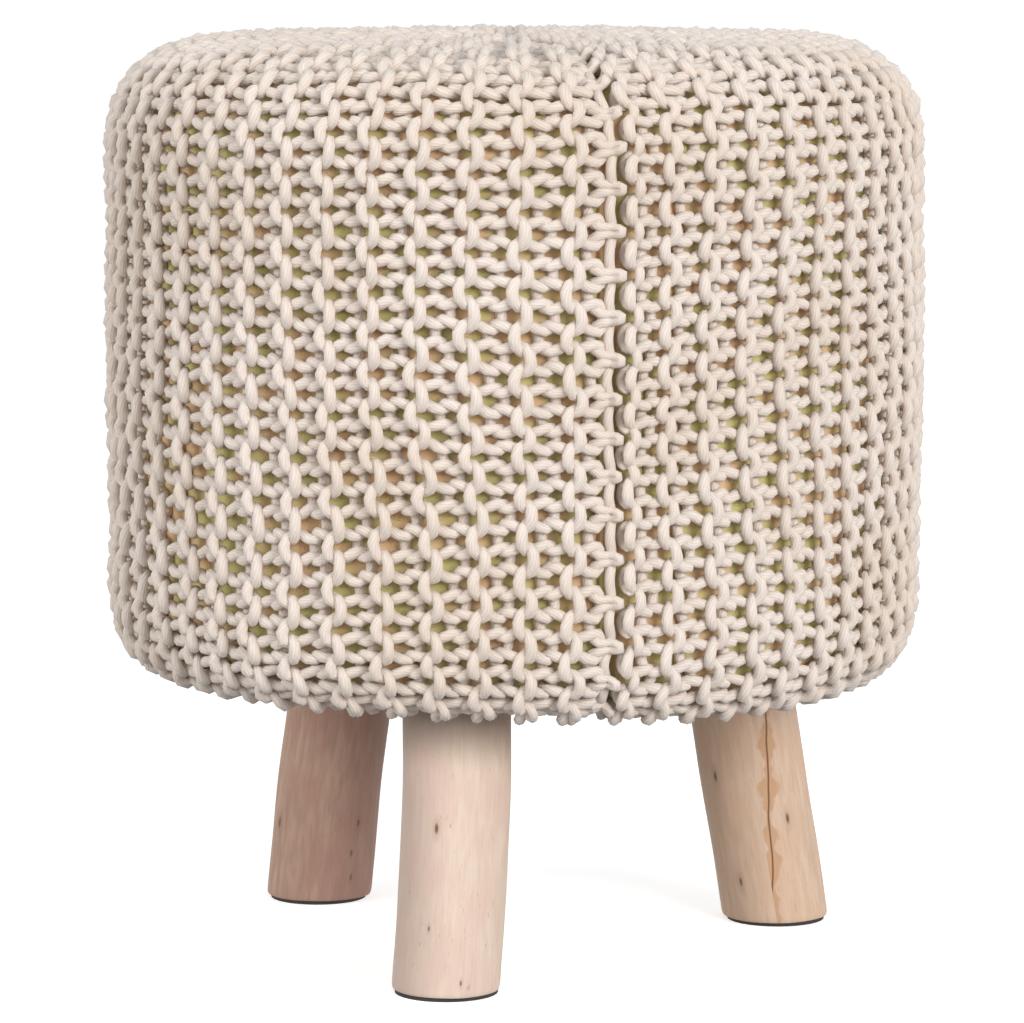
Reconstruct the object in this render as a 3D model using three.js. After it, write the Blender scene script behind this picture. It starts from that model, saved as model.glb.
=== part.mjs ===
// Knitted cotton stool: a round filled seat in a chunky knitted cover, standing on three splayed branch legs.
// The cover is one garter-stitch panel. Its ridges run up the side and over the top, where they are drawn
// together at the centre. The panel's two ends are laced together in one upright seam.
//
// Millimetres, +Z up. The origin is on the floor under the middle of the seat, and the front faces -Y.
// An azimuth is counted from the front, towards +X.

import * as THREE from 'three';

// Seat, over the knitted ridges
const SEAT_RADIUS = 177;
const SEAT_BOTTOM = 120;
const SEAT_TOP = 395;
const TOP_CROWN = 3; // the middle of the top stands this much above its rim
const SIDE_BULGE = 1; // the side swells this much between its corners
const TOP_CORNER = { width: 62, height: 58, squareness: 2.9 };
const BOTTOM_CORNER = { width: 30, height: 52, squareness: 2.3 };
const HEM_RADIUS = 130; // the cover turns under the seat and ends here

// Uneven filling: on the +X side the lower corner hangs lower and is rounder
const CORNER_DROP = 2;
const CORNER_EASE = 0.3;

// Knitted cover
const RIDGE_COUNT = 56;
const POINTS_PER_RIDGE = 3;
const RIDGE_DEPTH = 4;
const COVER_THICKNESS = 6.8; // between the ridges
const SEAM_AZIMUTH = THREE.MathUtils.degToRad(12);
const SEAM_DEPTH = 1.5;
const GATHER_RADIUS = 9; // round the drawn-in centre of the top
const GATHER_DEPTH = 5;
const HALF_RIDGES_RADIUS = 88; // inside this only every second ridge goes on
const QUARTER_RIDGES_RADIUS = 44;

// Filled casing, which shows through the knitting, and the board that carries the legs
const FIT_GAP = 0.4;
const BOARD_RADIUS = 127;
const BOARD_THICKNESS = 11.6;

// Branch legs and their glides
const LEG_DIAMETERS = [45.2, 46.8, 46.4];
const FRONT_LEG_AZIMUTH = THREE.MathUtils.degToRad(-13.3);
const FOOT_CIRCLE_RADIUS = 122;
const LEG_LEAN = THREE.MathUtils.degToRad(9.3);
const LEG_SIDES = 28;
const LEG_RINGS = 7;
const LEG_OVAL = 0.4; // the bark side stands out this much
const LEG_BOW = 1;
const GLIDE_RADIUS = 21.6;
const GLIDE_THICKNESS = 1.5;
const CONTACT_GAP = 0.3;

const TURN = 2 * Math.PI;
const OUTER_STEPS = { hem: 2, lowCorner: 5, side: 3, topCorner: 6, top: 7 };
const INNER_STEPS = { hem: 1, lowCorner: 4, side: 2, topCorner: 5, top: 3 };

const finish = {
  yarn: new THREE.MeshStandardMaterial({ color: 0xe6d8ca, roughness: 0.95, metalness: 0 }),
  casing: new THREE.MeshStandardMaterial({ color: 0xa28d66, roughness: 1, metalness: 0 }),
  board: new THREE.MeshStandardMaterial({ color: 0xc9a77c, roughness: 0.8, metalness: 0 }),
  branch: new THREE.MeshStandardMaterial({ color: 0xd8b99c, roughness: 0.65, metalness: 0 }),
  glide: new THREE.MeshStandardMaterial({ color: 0x1d1a18, roughness: 0.9, metalness: 0 }),
};

// A point of a quarter superellipse, from the level end (turn 0) to the upright end (turn 1)
function roundedCorner(corner, squareness, turn) {
  const angle = (turn * Math.PI) / 2;
  return {
    out: corner.width * Math.sin(angle) ** (2 / squareness),
    up: corner.height * (1 - Math.cos(angle) ** (2 / squareness)),
  };
}

// One meridian of the seat over its ridges, from the hem under the seat to the centre of the top.
// Each stretch has its own number of steps.
function seatMeridian(azimuth, steps) {
  const side = Math.sin(azimuth);
  const bottom = SEAT_BOTTOM - CORNER_DROP * side;
  const lowSquareness = BOTTOM_CORNER.squareness - CORNER_EASE * side;
  const lowInner = SEAT_RADIUS - BOTTOM_CORNER.width;
  const topInner = SEAT_RADIUS - TOP_CORNER.width;
  const rim = SEAT_TOP - TOP_CROWN;
  const sideFoot = SEAT_BOTTOM + BOTTOM_CORNER.height;
  const sideHead = rim - TOP_CORNER.height;
  const points = [];
  for (let i = 0; i < steps.hem; i++) {
    const share = i / steps.hem;
    points.push([HEM_RADIUS + (lowInner - HEM_RADIUS) * share, bottom]);
  }
  for (let i = 0; i < steps.lowCorner; i++) {
    const corner = roundedCorner(BOTTOM_CORNER, lowSquareness, i / steps.lowCorner);
    const settled = corner.up / BOTTOM_CORNER.height;
    points.push([lowInner + corner.out, bottom + corner.up + (SEAT_BOTTOM - bottom) * settled]);
  }
  for (let i = 0; i < steps.side; i++) {
    const share = i / steps.side;
    const bulge = SIDE_BULGE * 4 * share * (1 - share);
    points.push([SEAT_RADIUS - SIDE_BULGE + bulge, sideFoot + (sideHead - sideFoot) * share]);
  }
  for (let i = 0; i < steps.topCorner; i++) {
    const corner = roundedCorner(TOP_CORNER, TOP_CORNER.squareness, 1 - i / steps.topCorner);
    points.push([topInner + corner.out - SIDE_BULGE, rim - corner.up]);
  }
  for (let i = 0; i <= steps.top; i++) {
    const share = i / steps.top;
    const radius = topInner * (1 - share);
    const crown = TOP_CROWN * (1 - (1 - share) ** 2);
    const gather = GATHER_DEPTH * Math.exp(-((radius / GATHER_RADIUS) ** 2));
    points.push([radius, rim + crown - gather]);
  }
  return points;
}

// The meridian moved inwards along its own normal
function inset(points, depths) {
  return points.map(([radius, height], i) => {
    const before = points[Math.max(i - 1, 0)];
    const after = points[Math.min(i + 1, points.length - 1)];
    const along = new THREE.Vector2(after[0] - before[0], after[1] - before[1]).normalize();
    if (i === points.length - 1) along.set(-1, 0);
    if (i === 0) along.set(1, 0);
    const depth = depths[i];
    return [Math.max(radius - depth * along.y, 0), height + depth * along.x];
  });
}

// Every second ridge ends on its way to the centre, where its yarn turns back
function ridgesAt(radius) {
  if (radius < QUARTER_RIDGES_RADIUS) return RIDGE_COUNT / 4;
  return radius < HALF_RIDGES_RADIUS ? RIDGE_COUNT / 2 : RIDGE_COUNT;
}

// How deep the surface lies below the ridge tops: full between two ridges, and more in the seam
function furrowDepth(column, radius, columns) {
  const angle = (column / columns) * TURN;
  const fade = Math.min(radius / QUARTER_RIDGES_RADIUS, 1);
  const wave = Math.cos(ridgesAt(radius) * angle);
  const furrow = RIDGE_DEPTH * fade * Math.max((wave + 0.5) / 1.5, 0);
  const seam = column === 0 && radius > HALF_RIDGES_RADIUS ? SEAM_DEPTH : 0;
  return furrow + seam;
}

// Rings of points round the axis, one for each meridian step, without the last point on the axis
function ringsOf(columns, steps, depthAt) {
  const rings = [];
  let centre = null;
  for (let column = 0; column < columns; column++) {
    const azimuth = SEAM_AZIMUTH + (column / columns) * TURN;
    const meridian = seatMeridian(azimuth, steps);
    const depths = meridian.map(([radius]) => depthAt(column, radius));
    inset(meridian, depths).forEach(([radius, height], i) => {
      if (i === meridian.length - 1) {
        centre = [0, 0, height];
        return;
      }
      rings[i] = rings[i] || [];
      rings[i].push([Math.sin(azimuth) * radius, -Math.cos(azimuth) * radius, height]);
    });
  }
  return { rings, centre };
}

function meshGeometry(points, triangles) {
  const geometry = new THREE.BufferGeometry();
  geometry.setAttribute('position', new THREE.Float32BufferAttribute(points.flat(), 3));
  geometry.setIndex(triangles.flat());
  geometry.computeVertexNormals();
  return geometry;
}

// A band of triangles between two rings. The upper one may have fewer points, by a whole factor.
function band(lower, upper) {
  const factor = lower.count / upper.count;
  const faces = [];
  for (let i = 0; i < lower.count; i++) {
    const a = lower.first + i;
    const b = lower.first + ((i + 1) % lower.count);
    const step = Math.floor(i / factor);
    const c = upper.first + step;
    const d = upper.first + ((step + 1) % upper.count);
    faces.push([a, b, c]);
    if (i % factor === factor - 1) faces.push([b, d, c]);
  }
  return faces;
}

const reversed = (faces) => faces.map(([a, b, c]) => [a, c, b]);

function fan(ring, centre) {
  const faces = [];
  for (let i = 0; i < ring.count; i++) {
    faces.push([ring.first + i, ring.first + ((i + 1) % ring.count), centre]);
  }
  return faces;
}

// The knitted cover: a ridged outer surface, a smooth inner one, and the hem that joins them
function knittedCover() {
  const columns = RIDGE_COUNT * POINTS_PER_RIDGE;
  const inner = ringsOf(RIDGE_COUNT, INNER_STEPS, () => RIDGE_DEPTH + COVER_THICKNESS);
  const outer = ringsOf(columns, OUTER_STEPS, (column, radius) => furrowDepth(column, radius, columns));
  const points = [];
  const numbered = (ring) => {
    const first = points.length;
    points.push(...ring);
    return { first, count: ring.length };
  };
  const outerRings = outer.rings.map(numbered);
  const innerRings = inner.rings.map(numbered);
  const outerCentre = points.push(outer.centre) - 1;
  const innerCentre = points.push(inner.centre) - 1;
  const triangles = [];
  for (let i = 0; i + 1 < outerRings.length; i++) {
    triangles.push(...band(outerRings[i], outerRings[i + 1]));
  }
  triangles.push(...fan(outerRings.at(-1), outerCentre));
  for (let i = 0; i + 1 < innerRings.length; i++) {
    triangles.push(...reversed(band(innerRings[i], innerRings[i + 1])));
  }
  triangles.push(...reversed(fan(innerRings.at(-1), innerCentre)));
  triangles.push(...reversed(band(outerRings[0], innerRings[0])));
  return meshGeometry(points, triangles);
}

// The filled casing follows the inside of the cover, and its underside is level
function filledCasing() {
  const depth = RIDGE_DEPTH + COVER_THICKNESS + FIT_GAP;
  const { rings, centre } = ringsOf(RIDGE_COUNT, INNER_STEPS, () => depth);
  const floor = CASING_UNDERSIDE;
  const points = [];
  const numbered = rings.map((ring) => {
    const first = points.length;
    points.push(...ring.map(([x, y, z]) => [x, y, Math.max(z, floor)]));
    return { first, count: ring.length };
  });
  const top = points.push(centre) - 1;
  const bottom = points.push([0, 0, floor]) - 1;
  const triangles = [];
  for (let i = 0; i + 1 < numbered.length; i++) {
    triangles.push(...band(numbered[i], numbered[i + 1]));
  }
  triangles.push(...fan(numbered.at(-1), top));
  triangles.push(...reversed(fan(numbered[0], bottom)));
  return meshGeometry(points, triangles);
}

// A length of peeled branch, sawn level at both ends: slightly oval, and a little bowed
function branchLeg(diameter, azimuth, foot, head) {
  const points = [];
  const triangles = [];
  const rings = [];
  for (let ring = 0; ring < LEG_RINGS; ring++) {
    const share = ring / (LEG_RINGS - 1);
    const height = foot + (head - foot) * share;
    const axisRadius = FOOT_CIRCLE_RADIUS - height * Math.tan(LEG_LEAN);
    const bow = LEG_BOW * Math.sin(share * Math.PI);
    rings.push({ first: points.length, count: LEG_SIDES });
    for (let side = 0; side < LEG_SIDES; side++) {
      const angle = (side / LEG_SIDES) * TURN;
      const radius = diameter / 2 + LEG_OVAL * Math.cos(2 * angle + azimuth + share);
      const x = Math.sin(azimuth) * axisRadius + radius * Math.cos(angle);
      const y = -Math.cos(azimuth) * axisRadius + radius * Math.sin(angle);
      points.push([x + bow * Math.cos(azimuth), y + bow * Math.sin(azimuth), height]);
    }
  }
  for (let i = 0; i + 1 < rings.length; i++) {
    triangles.push(...band(rings[i], rings[i + 1]));
  }
  const centreOf = (ring) => {
    const own = points.slice(ring.first, ring.first + ring.count);
    return [0, 1, 2].map((axis) => own.reduce((sum, point) => sum + point[axis], 0) / own.length);
  };
  const headCentre = points.push(centreOf(rings.at(-1))) - 1;
  const footCentre = points.push(centreOf(rings[0])) - 1;
  triangles.push(...fan(rings.at(-1), headCentre));
  triangles.push(...reversed(fan(rings[0], footCentre)));
  return meshGeometry(points, triangles);
}

function disc(radius, thickness, sides) {
  return new THREE.CylinderGeometry(radius, radius, thickness, sides).rotateX(Math.PI / 2);
}

function named(name, geometry, material) {
  const mesh = new THREE.Mesh(geometry, material);
  mesh.name = name;
  return mesh;
}

// Heights from the floor up to the casing
const LEG_FOOT = GLIDE_THICKNESS + CONTACT_GAP;
const CASING_UNDERSIDE = SEAT_BOTTOM + CORNER_DROP + RIDGE_DEPTH + COVER_THICKNESS + FIT_GAP;
const BOARD_UNDERSIDE = CASING_UNDERSIDE - CONTACT_GAP - BOARD_THICKNESS;
const LEG_HEAD = BOARD_UNDERSIDE - CONTACT_GAP;

const stool = new THREE.Group();
stool.name = 'knitted_stool';

const seat = new THREE.Group();
seat.add(named('knitted_cover', knittedCover(), finish.yarn));
seat.add(named('filled_casing', filledCasing(), finish.casing));
const board = named('base_board', disc(BOARD_RADIUS, BOARD_THICKNESS, 56), finish.board);
board.position.z = BOARD_UNDERSIDE + BOARD_THICKNESS / 2;
seat.add(board);
stool.add(seat);

const LEG_NAMES = ['front', 'right', 'left'];
LEG_NAMES.forEach((name, index) => {
  const azimuth = FRONT_LEG_AZIMUTH + (index * TURN) / LEG_NAMES.length;
  const diameter = LEG_DIAMETERS[index];
  const leg = named(`leg_${name}`, branchLeg(diameter, azimuth, LEG_FOOT, LEG_HEAD), finish.branch);
  const glide = named(`glide_${name}`, disc(GLIDE_RADIUS, GLIDE_THICKNESS, 32), finish.glide);
  glide.position.set(
    Math.sin(azimuth) * FOOT_CIRCLE_RADIUS,
    -Math.cos(azimuth) * FOOT_CIRCLE_RADIUS,
    GLIDE_THICKNESS / 2,
  );
  stool.add(leg, glide);
});

export default stool;
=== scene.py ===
# %% [markdown]
# # A knitted cotton stool
# The real stool is a tall, firmly filled drum on three short lengths of peeled branch. The drum wears a
# cover knitted from thick cotton cord in garter stitch, the plainest knitting there is: every row is the
# same. The rows run up the side and over the top, so the stitch's ridges stand upright round the drum.
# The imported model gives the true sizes, and this lesson dresses it: knitting, filling, branches and felt.
# Lengths are in millimetres, and azimuths count from the front towards +X. Only the lights are placed in
# metres, which is Blender's own unit.

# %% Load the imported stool
import math

import bpy
import numpy as np
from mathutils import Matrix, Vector


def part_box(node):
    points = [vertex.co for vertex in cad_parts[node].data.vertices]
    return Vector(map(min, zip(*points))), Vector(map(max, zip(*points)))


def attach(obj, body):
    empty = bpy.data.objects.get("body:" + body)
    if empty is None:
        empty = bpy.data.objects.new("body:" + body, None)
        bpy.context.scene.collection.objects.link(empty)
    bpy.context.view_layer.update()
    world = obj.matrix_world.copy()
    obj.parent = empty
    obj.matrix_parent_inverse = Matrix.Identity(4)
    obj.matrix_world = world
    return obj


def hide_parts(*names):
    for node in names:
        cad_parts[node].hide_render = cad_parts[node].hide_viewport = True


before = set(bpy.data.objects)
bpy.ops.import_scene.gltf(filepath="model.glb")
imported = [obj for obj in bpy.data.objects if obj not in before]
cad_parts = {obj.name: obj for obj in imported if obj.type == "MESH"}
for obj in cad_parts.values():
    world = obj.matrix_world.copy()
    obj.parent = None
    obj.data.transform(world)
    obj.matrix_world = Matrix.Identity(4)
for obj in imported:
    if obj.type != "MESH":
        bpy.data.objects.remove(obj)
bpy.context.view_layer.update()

MM = 0.001
print("packed nodes:", sorted(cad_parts))


def box_mm(node):
    """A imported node's lowest and highest corner, in millimetres."""
    return [np.array(corner, float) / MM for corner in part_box(node)]


# %% [markdown]
# ## Camera
# The photograph was taken with a long lens from a little above the seat, so that a thin slice of the top
# shows. A camera far away with a narrow view gives the same flat perspective. It stands a hair to the left,
# as the real one did, and looks down by seven degrees.

# %% Camera
CAMERA_DISTANCE = 2244.0
CAMERA_HEIGHT = 467.0
CAMERA_SIDE = -0.7
CAMERA_PITCH = math.radians(7.12)
SENSOR_WIDTH = 36.0
FOCAL_LENGTH = 182.7

camera_data = bpy.data.cameras.new("studio_camera")
camera_data.sensor_width = SENSOR_WIDTH
camera_data.lens = FOCAL_LENGTH
camera_data.clip_end = 100
camera = bpy.data.objects.new("studio_camera", camera_data)
camera.location = (CAMERA_SIDE * MM, -CAMERA_DISTANCE * MM, CAMERA_HEIGHT * MM)
camera.rotation_euler = (math.pi / 2 - CAMERA_PITCH, 0, 0)
bpy.context.scene.collection.objects.link(camera)
bpy.context.scene.camera = camera
print("camera sees", round(SENSOR_WIDTH / FOCAL_LENGTH * CAMERA_DISTANCE), "mm across at the stool")

# %% [markdown]
# ## The form of the seat
# Everything on the seat follows one line: the meridian, which starts at the middle of the top, runs out to
# the rounded rim, down the side, round the lower corner and a little way under. Measured along that line,
# each place has a radius, a height and a direction that points out of the seat. The stitches are laid out
# on this line, and numpy looks all of them up at once.

# %% Sizes of the seat
cover_low, cover_high = box_mm("knitted_cover")
CORNER_DROP = 2.0
SEAT_RADIUS = (cover_high[0] - cover_low[0]) / 2
SEAT_TOP = cover_high[2]
SEAT_BOTTOM = cover_low[2] + CORNER_DROP
TOP_CROWN = 3.0
SIDE_BULGE = 1.0
TOP_CORNER = {"width": 62.0, "height": 58.0, "squareness": 2.9}
LOW_CORNER = {"width": 30.0, "height": 52.0, "squareness": 2.3}
HEM_RADIUS = 132.0
GATHER_RADIUS = 9.0
GATHER_DEPTH = 6.0
SLOPE_WINDOW = 13


def rounded_corner(corner, turn):
    """A quarter superellipse: width times sin(turn)^(2/n) out, height times 1 - cos(turn)^(2/n) up."""
    power = 2 / corner["squareness"]
    out = corner["width"] * np.sin(turn) ** power
    up = corner["height"] * (1 - np.clip(np.cos(turn), 0, 1) ** power)
    return out, up


def seat_meridian(step=1.0):
    """The seat's half section from the middle of the top to the hem, at even steps of its own length:
    a crowned disc with a small pit, a soft corner, a side that swells by half a sine, a tighter corner and
    a level hem. The way out is the line's slope, smoothed over a few steps and turned by a right angle."""
    turn = np.linspace(0, np.pi / 2, 240)
    rim = SEAT_TOP - TOP_CROWN
    inner = SEAT_RADIUS - TOP_CORNER["width"]
    low_inner = SEAT_RADIUS - LOW_CORNER["width"]
    radius = np.linspace(0, inner, 160)[:-1]
    pit = GATHER_DEPTH * np.exp(-((radius / GATHER_RADIUS) ** 2))
    top = np.column_stack([radius, rim + TOP_CROWN * (1 - (radius / inner) ** 2) - pit])
    out, up = rounded_corner(TOP_CORNER, turn)
    shoulder = np.column_stack([inner + out * (1 - SIDE_BULGE / TOP_CORNER["width"]), rim - up])
    height = np.linspace(rim - TOP_CORNER["height"], SEAT_BOTTOM + LOW_CORNER["height"], 120)[1:-1]
    share = (height - height[-1]) / (height[0] - height[-1])
    side = np.column_stack([SEAT_RADIUS - SIDE_BULGE + SIDE_BULGE * np.sin(np.pi * share), height])
    out, up = rounded_corner(LOW_CORNER, turn[::-1])
    foot = np.column_stack([low_inner + out * (1 - SIDE_BULGE / LOW_CORNER["width"]), SEAT_BOTTOM + up])
    hem = np.column_stack([np.linspace(low_inner, HEM_RADIUS, 20)[1:], np.full(19, SEAT_BOTTOM)])
    line = np.concatenate([top, shoulder, side, foot, hem])
    length = np.concatenate([[0], np.cumsum(np.hypot(*np.diff(line, axis=0).T))])
    along = np.arange(0, length[-1], step)
    radius, height = (np.interp(along, length, line[:, axis]) for axis in (0, 1))
    window = np.hanning(SLOPE_WINDOW) / np.hanning(SLOPE_WINDOW).sum()
    padded = (np.pad(values, SLOPE_WINDOW // 2, mode="reflect", reflect_type="odd")
              for values in (radius, height))
    slope_r, slope_h = (np.gradient(values, step) for values in padded)
    slope_r, slope_h = (np.convolve(slope, window, mode="valid") for slope in (slope_r, slope_h))
    size = np.hypot(slope_r, slope_h)
    return {"along": along, "radius": radius, "height": height, "out_r": -slope_h / size,
            "out_h": slope_r / size}


meridian = seat_meridian()
MERIDIAN_END = meridian["along"][-1]


def on_meridian(along, name):
    """One column of the meridian, read at any length along it."""
    return np.interp(along, meridian["along"], meridian[name])


print(f"seat radius {SEAT_RADIUS:.1f}, meridian {MERIDIAN_END:.0f} mm long")

# %% [markdown]
# ## Nothing is quite even
# Hand knitting wanders: rows drift, ridges lean and some stitches are looser than others. A sum of a few
# long waves with seeded directions is smooth, so neighbouring stitches move together and stay linked. The
# filling isn't even either. It swells the shoulder and the lower corner, has a few low lumps, and lets the
# seat hang a little lower on the right.


# %% Seeded unevenness
WAVES_SUMMED = 7


def wander(seed, across, along, wavelength):
    """Smooth unevenness, mostly between -1 and 1: the sum of seven sine waves of about this wavelength,
    each with its own seeded direction, length and start."""
    random = np.random.default_rng(seed)
    total = 0.0
    for _ in range(WAVES_SUMMED):
        heading, start = random.uniform(0, 2 * np.pi, 2)
        waves = 2 * np.pi * random.uniform(0.7, 1.4) / wavelength
        total = total + np.sin((across * np.cos(heading) + along * np.sin(heading)) * waves + start)
    return total / 3.0


def smooth_step(low, high, value):
    """0 below low, 1 above high, and 3t^2 - 2t^3 between."""
    share = np.clip((value - low) / (high - low), 0, 1)
    return share * share * (3 - 2 * share)


LOW_CORNER_HEIGHT = SEAT_BOTTOM + 14
LOW_CORNER_AT = float(np.interp(-LOW_CORNER_HEIGHT, -meridian["height"], meridian["along"]))
CORNER_FULLNESS, CORNER_SPREAD = 3.0, 26.0
SHOULDER_FULLNESS, SHOULDER_END = 2.0, (190.0, 240.0)
LUMPS_START = (60.0, 160.0)
HEM_DROP = 1.5


def on_seat(azimuth, along, out):
    """Place of a point so far out of the meridian, and the direction that points out of the seat there. The
    filling swells both corners by smooth hills, and the lower corner drops most on the side of +X."""
    side = np.sin(azimuth)
    low = smooth_step(LOW_CORNER_AT - 60, LOW_CORNER_AT + 10, along)
    corner = np.exp(-(((along - LOW_CORNER_AT) / CORNER_SPREAD) ** 2))
    lump = 0.8 * np.sin(3 * azimuth + along / 70) + 0.6 * np.sin(5 * azimuth - along / 50 + 1)
    shoulder = 1 - smooth_step(*SHOULDER_END, along)
    out = out + CORNER_FULLNESS * corner + SHOULDER_FULLNESS * shoulder
    out = out + lump * smooth_step(*LUMPS_START, along)
    out_r, out_h = on_meridian(along, "out_r"), on_meridian(along, "out_h")
    radius = on_meridian(along, "radius") + out * out_r
    height = on_meridian(along, "height") + out * out_h - (HEM_DROP + CORNER_DROP * side) * low
    place = np.stack([np.sin(azimuth) * radius, -np.cos(azimuth) * radius, height], axis=-1)
    facing = np.stack([np.sin(azimuth) * out_r, -np.cos(azimuth) * out_r, out_h + 0 * azimuth], axis=-1)
    return place, facing


# %% [markdown]
# ## Cord
# A cord is a profile carried along a path. At each step of the path the profile needs two directions: one
# across the cord and one up. The way out of the seat serves as up everywhere, so no cord ever twists.
# Whole families of cords with the same number of steps are made as one array.


# %% Cord mesh
def cord_family(paths, facings, thickness, sides):
    """Round tubes along paths[n, m]: each ring is centre + thickness * (cos * across + sin * up). Gives the
    points, the four-sided faces, the end caps and the UV, which is the share round and the length along."""
    count, steps = paths.shape[:2]
    ahead = np.gradient(paths, axis=1)
    ahead /= np.linalg.norm(ahead, axis=-1, keepdims=True)
    across = np.cross(ahead, facings)
    across /= np.linalg.norm(across, axis=-1, keepdims=True)
    up = np.cross(across, ahead)
    turn = 2 * np.pi * np.arange(sides) / sides
    ring = np.cos(turn)[:, None] * across[:, :, None] + np.sin(turn)[:, None] * up[:, :, None]
    points = paths[:, :, None] + thickness[:, :, None, None] * ring
    number = np.arange(count * steps * sides).reshape(count, steps, sides)
    here, onward = number[:, :-1], number[:, 1:]
    walls = np.stack([here, np.roll(here, -1, 2), np.roll(onward, -1, 2), onward], axis=-1)
    step_length = np.linalg.norm(np.diff(paths, axis=1), axis=-1)
    length = np.concatenate([np.zeros((count, 1)), np.cumsum(step_length, axis=1)], axis=1)
    share = np.broadcast_to(np.arange(sides) / sides, (count, steps - 1, sides))
    near = np.broadcast_to(length[:, :-1, None], share.shape)
    far = np.broadcast_to(length[:, 1:, None], share.shape)
    around = np.stack([share, share + 1 / sides, share + 1 / sides, share], axis=-1)
    lengths = np.stack([near, near, far, far], axis=-1)
    uv = np.stack([around, lengths], axis=-1).reshape(-1, 2)
    caps = np.concatenate([number[:, 0, ::-1], number[:, -1]])
    return points.reshape(-1, 3), walls.reshape(-1, 4), caps, uv


def mesh_object(name, points, walls, caps=None, uv=None):
    """A piece at the origin from points in millimetres, its faces as corner numbers and a UV map."""
    mesh = bpy.data.meshes.new(name)
    groups = [np.asarray(group) for group in (walls, caps) if group is not None and len(group)]
    corners = np.concatenate([group.ravel() for group in groups]).astype(np.int32)
    sizes = np.concatenate([np.full(len(group), group.shape[1]) for group in groups]).astype(np.int32)
    mesh.vertices.add(len(points))
    mesh.vertices.foreach_set("co", (np.asarray(points) * MM).astype(np.float32).ravel())
    mesh.loops.add(len(corners))
    mesh.loops.foreach_set("vertex_index", corners)
    mesh.polygons.add(len(sizes))
    mesh.polygons.foreach_set("loop_start", (np.cumsum(sizes) - sizes).astype(np.int32))
    mesh.polygons.foreach_set("loop_total", sizes)
    mesh.polygons.foreach_set("use_smooth", np.ones(len(sizes), bool))
    if uv is not None:
        layer = mesh.uv_layers.new(name="surface")
        values = np.zeros((len(corners), 2), np.float32)
        values[: len(uv)] = uv
        layer.data.foreach_set("uv", values.ravel())
    mesh.update()
    mesh.validate()
    piece = bpy.data.objects.new(name, mesh)
    bpy.context.scene.collection.objects.link(piece)
    return piece


def joined(families):
    """Several cord families as one set of points, faces, caps and UV."""
    points, walls, caps, uv, first = [], [], [], [], 0
    for family_points, family_walls, family_caps, family_uv in families:
        points.append(family_points)
        walls.append(family_walls + first)
        caps.append(family_caps + first)
        uv.append(family_uv)
        first += len(family_points)
    return [np.concatenate(parts) for parts in (points, walls, caps, uv)]


def triangle_count(piece):
    """Triangles of a piece, once every face is cut into them."""
    return sum(len(face.vertices) - 2 for face in piece.data.polygons)


# %% [markdown]
# ## Where the rows run
# Two rows of garter stitch make one ridge. There are fifty-six ridges, a little closer together to the
# right of the seam than to the left. Numbered in half ridges from the seam, an even number is a front
# ridge and an odd one is the furrow between two ridges, where the back ridge lies. Towards the middle of
# the top there is no room for all of them, so the knitter turned back early: half of the ridges stop, then
# half of the rest, and again. A few ridges near the seam have azimuths of their own, and the others stand
# evenly between them.

# %% Ridges round the drum
RIDGE_COUNT = 56
EDGE_RIDGE, FIRST_RIDGE = 16.4, 21.7
RIGHT_RIDGES, RIGHT_GAP = 10, 6.28
LEFT_RIDGES, LEFT_GAP = 12, 6.66
LAST_RIDGE, LAST_FURROW = 8.0, 11.3
NODE_COUNT = 2 * RIDGE_COUNT
SEAM_NODE = NODE_COUNT - 1
REDUCTIONS = [(110.0, 92.0), (64.0, 54.0), (36.0, 29.0)]
COURSE_END_RADIUS = [97.0, 57.0, 31.0, 9.5]

last_node = NODE_COUNT - 2
node_marks = [0, 2, 2 * RIGHT_RIDGES, last_node - 2 * LEFT_RIDGES, last_node, SEAM_NODE, NODE_COUNT]
node_degrees = [EDGE_RIDGE, FIRST_RIDGE, FIRST_RIDGE + (RIGHT_RIDGES - 1) * RIGHT_GAP,
                LAST_RIDGE + 360 - LEFT_RIDGES * LEFT_GAP, LAST_RIDGE + 360, LAST_FURROW + 360,
                EDGE_RIDGE + 360]


def node_azimuth(node):
    """Azimuth of a half ridge on the side of the drum, read between the marked ridges."""
    return np.radians(np.interp(node, node_marks, node_degrees))


def gathered(node, level):
    """The half ridge that takes this one's place after some reductions: the first of each group stays, and
    the others meet in the middle of the group."""
    group = 2 ** (level + 1)
    within = node % group
    return np.where(within == 0, node, node - within + group // 2)


def node_place(node, radius):
    """Azimuth of a half ridge at a radius, where it slides over to its gathered place."""
    place = node_azimuth(node) + 0 * radius
    for level, (outer, inner) in enumerate(REDUCTIONS, start=1):
        share = 1 - smooth_step(inner, outer, radius)
        place = place + share * (node_azimuth(gathered(node, level)) - place)
    return place


print("ridge spacing at the front:", round(np.radians(LEFT_GAP) * SEAT_RADIUS, 1), "mm left,",
      round(np.radians(RIGHT_GAP) * SEAT_RADIUS, 1), "mm right")

# %% [markdown]
# ## The garter stitch
# Seen along its row, one stitch goes up the side of a loop, over its head and down again, and then through
# the sinker to the next. Seen in depth it ducks under the neighbouring row and comes over it. Each of the
# three directions is a short sum of cosines, so the loop closes smoothly on the next one. A knit row
# starts at a front ridge and ends in a furrow. The next row starts in that furrow, ends at the next front
# ridge, and has its depth turned round. Loops of the two rows hook into each other at both.
#
# A cover pulled over a firm filling doesn't lie straight. Two short tables list the widest drifts that the
# photograph shows, as smooth hills: where the rows sag, and where the ridges sway. The row at the seam is
# cast off, so it ends in long pointed loops, and one more narrow row edges the other side of the seam.

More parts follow.
